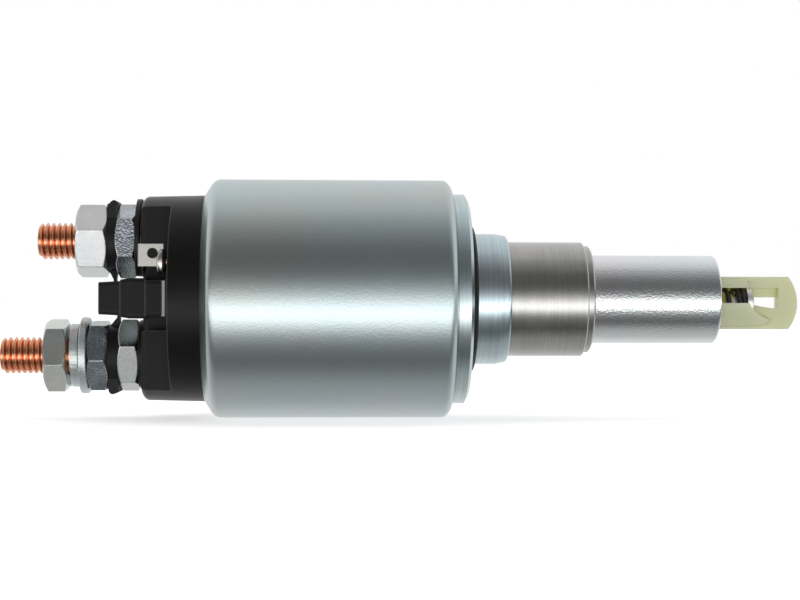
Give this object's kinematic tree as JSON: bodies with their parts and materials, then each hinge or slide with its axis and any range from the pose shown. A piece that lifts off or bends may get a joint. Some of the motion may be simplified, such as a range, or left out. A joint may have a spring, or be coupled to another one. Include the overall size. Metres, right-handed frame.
{
  "type": "starter solenoid",
  "caption": "Starter motor solenoid: a plated steel can with a sliding armature and nylon hook at one end, and a moulded cap with copper studs and a blade connector at the other.",
  "frame": {"origin": "on the armature's axis, at the flange's front face, which seats on the starter's housing", "axes": "+X along the armature's axis towards the hook, +Z from the long stud to the short stud, -Y on the connector's side"},
  "size_m": [0.2109, 0.0628, 0.0628],
  "materials": {
    "zinc_plate": "satin bluish zinc plating",
    "nut_zinc": "bright zinc plating, spangled in places",
    "ground_steel": "fine turned, warm grey, uncoated",
    "plain_steel": "turned, uncoated",
    "bright_steel": "bright turned",
    "spring_steel": "drawn wire",
    "black_spring": "black, semi-gloss",
    "stud_copper": "rolled copper threads, semi-bright",
    "winding_copper": "enamelled wire",
    "brass": "drawn brass",
    "tinned_strip": "tinned, dull",
    "solder": "solidified solder, semi-bright",
    "black_rubber": "matt black",
    "black_moulding": "black moulding, faint sheen",
    "washer_fibre": "black, matt",
    "ivory_nylon": "translucent pale yellow-green nylon",
    "nylon": "natural nylon",
    "insulating_plastic": "brown moulding",
    "insulating_paper": "varnished paper"
  },
  "bodies": {
    "housing": {"case": "zinc_plate", "front_plate": "zinc_plate", "o_ring": "black_rubber", "guide_sleeve": "brass", "bobbin": "nylon", "pull_in_winding": "winding_copper", "hold_in_winding": "winding_copper", "winding_wrap": "insulating_paper", "winding_leads": "winding_copper", "bobbin_gasket": "black_rubber", "core": "plain_steel", "return_spring": "spring_steel", "cap": "black_moulding", "cap_seal": "black_rubber", "short_stud": "stud_copper", "long_stud": "stud_copper", "short_stud_inner_nut": "nut_zinc", "short_stud_nut": "nut_zinc", "long_stud_inner_nut": "nut_zinc", "long_stud_middle_nut": "nut_zinc", "long_stud_outer_nut": "nut_zinc", "insulating_washers": "washer_fibre", "strap": "black_rubber", "flat_washer": "nut_zinc", "spring_washer": "nut_zinc", "strip": "tinned_strip", "solder_joint": "solder", "shroud": "black_moulding", "blade_terminal": "tinned_strip", "contact_return_spring": "spring_steel"},
    "plunger": {"armature": "ground_steel", "nose": "zinc_plate", "hook": "ivory_nylon", "release_spring": "black_spring"},
    "seat": {"spring_seat": "bright_steel"},
    "rod": {"push_rod": "bright_steel", "rod_clip": "spring_steel", "contact_spring": "spring_steel"},
    "bridge": {"contact_bridge": "stud_copper", "bridge_bush": "insulating_plastic", "bridge_washer": "insulating_plastic"}
  },
  "joints": [
    {"name": "plunger_slide", "type": "slide", "parent": "housing", "child": "plunger", "axis": [1, 0, 0], "range_m": [-0.0135, 0], "stiffness_N_per_m": 2500, "deforming": ["return_spring"]},
    {"name": "seat_slide", "type": "slide", "parent": "plunger", "child": "seat", "axis": [1, 0, 0], "range_m": [-0.006, 0], "stiffness_N_per_m": 3000, "springref_m": 0.002, "deforming": ["release_spring"]},
    {"name": "rod_slide", "type": "slide", "parent": "housing", "child": "rod", "axis": [1, 0, 0], "range_m": [-0.0041, 0], "deforming": ["contact_return_spring"]},
    {"name": "bridge_slide", "type": "slide", "parent": "rod", "child": "bridge", "axis": [1, 0, 0], "range_m": [0, 0.0008], "deforming": ["contact_spring"]}
  ],
  "couplings": [
    {"joint": "rod_slide", "follows": "plunger_slide", "ratio": 0.2963},
    {"joint": "bridge_slide", "follows": "plunger_slide", "ratio": -0.055556}
  ]
}
